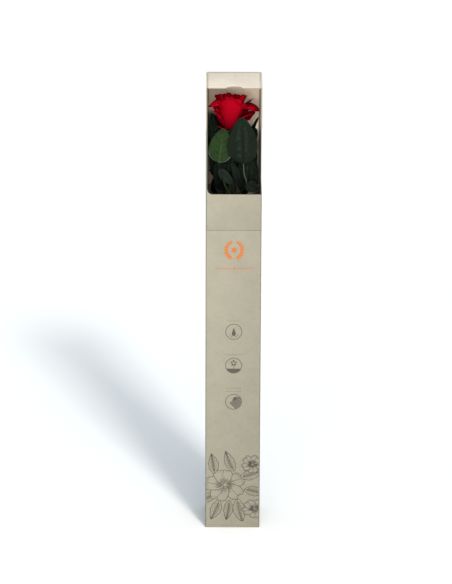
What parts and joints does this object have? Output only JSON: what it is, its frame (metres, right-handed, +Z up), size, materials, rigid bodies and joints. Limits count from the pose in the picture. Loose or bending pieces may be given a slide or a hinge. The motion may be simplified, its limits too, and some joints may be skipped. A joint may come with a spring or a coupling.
{
  "type": "rose in a windowed gift box",
  "caption": "Long-stemmed rose standing in a tall square card gift box, open at the front of its top as a window, with a hinged lid panel.",
  "frame": {"origin": "centre of the box's underside", "axes": "+Z up along the box and the stem, -Y out of the front with the window, +X to the right seen from the front"},
  "size_m": [0.066, 0.066, 0.557],
  "materials": {
    "printed_card": "uncoated greige card, matt, with fine fibre flecks and print",
    "cream_card": "uncoated cream card, matt",
    "inner_card": "plain unprinted inner card, matt",
    "stem": "green rose stem, satin",
    "petals": "deep red preserved petals, velvety",
    "leaf_dark": "very dark green preserved leaf, soft sheen, sunk veins",
    "leaf_light": "mid green preserved leaf, soft sheen, sunk veins"
  },
  "bodies": {
    "box": {"base_box": "printed_card", "window_box": "printed_card", "neck_liner": "inner_card", "stem_holder": "inner_card", "stem": "stem", "bloom": "petals", "leaf_front_right": "leaf_dark", "leaf_front_left": "leaf_light", "leaf_left": "leaf_dark", "leaf_right": "leaf_dark", "leaf_back_left": "leaf_dark", "leaf_back_right": "leaf_dark", "leaf_low_right": "leaf_dark", "leaf_low_left": "leaf_dark"},
    "lid": {"lid_panel": "cream_card"}
  },
  "joints": [
    {"name": "lid_hinge", "type": "hinge", "parent": "box", "child": "lid", "pos_m": [0, 0.033, 0.55525], "axis": [-1, 0, 0], "range_deg": [0, 110]}
  ]
}
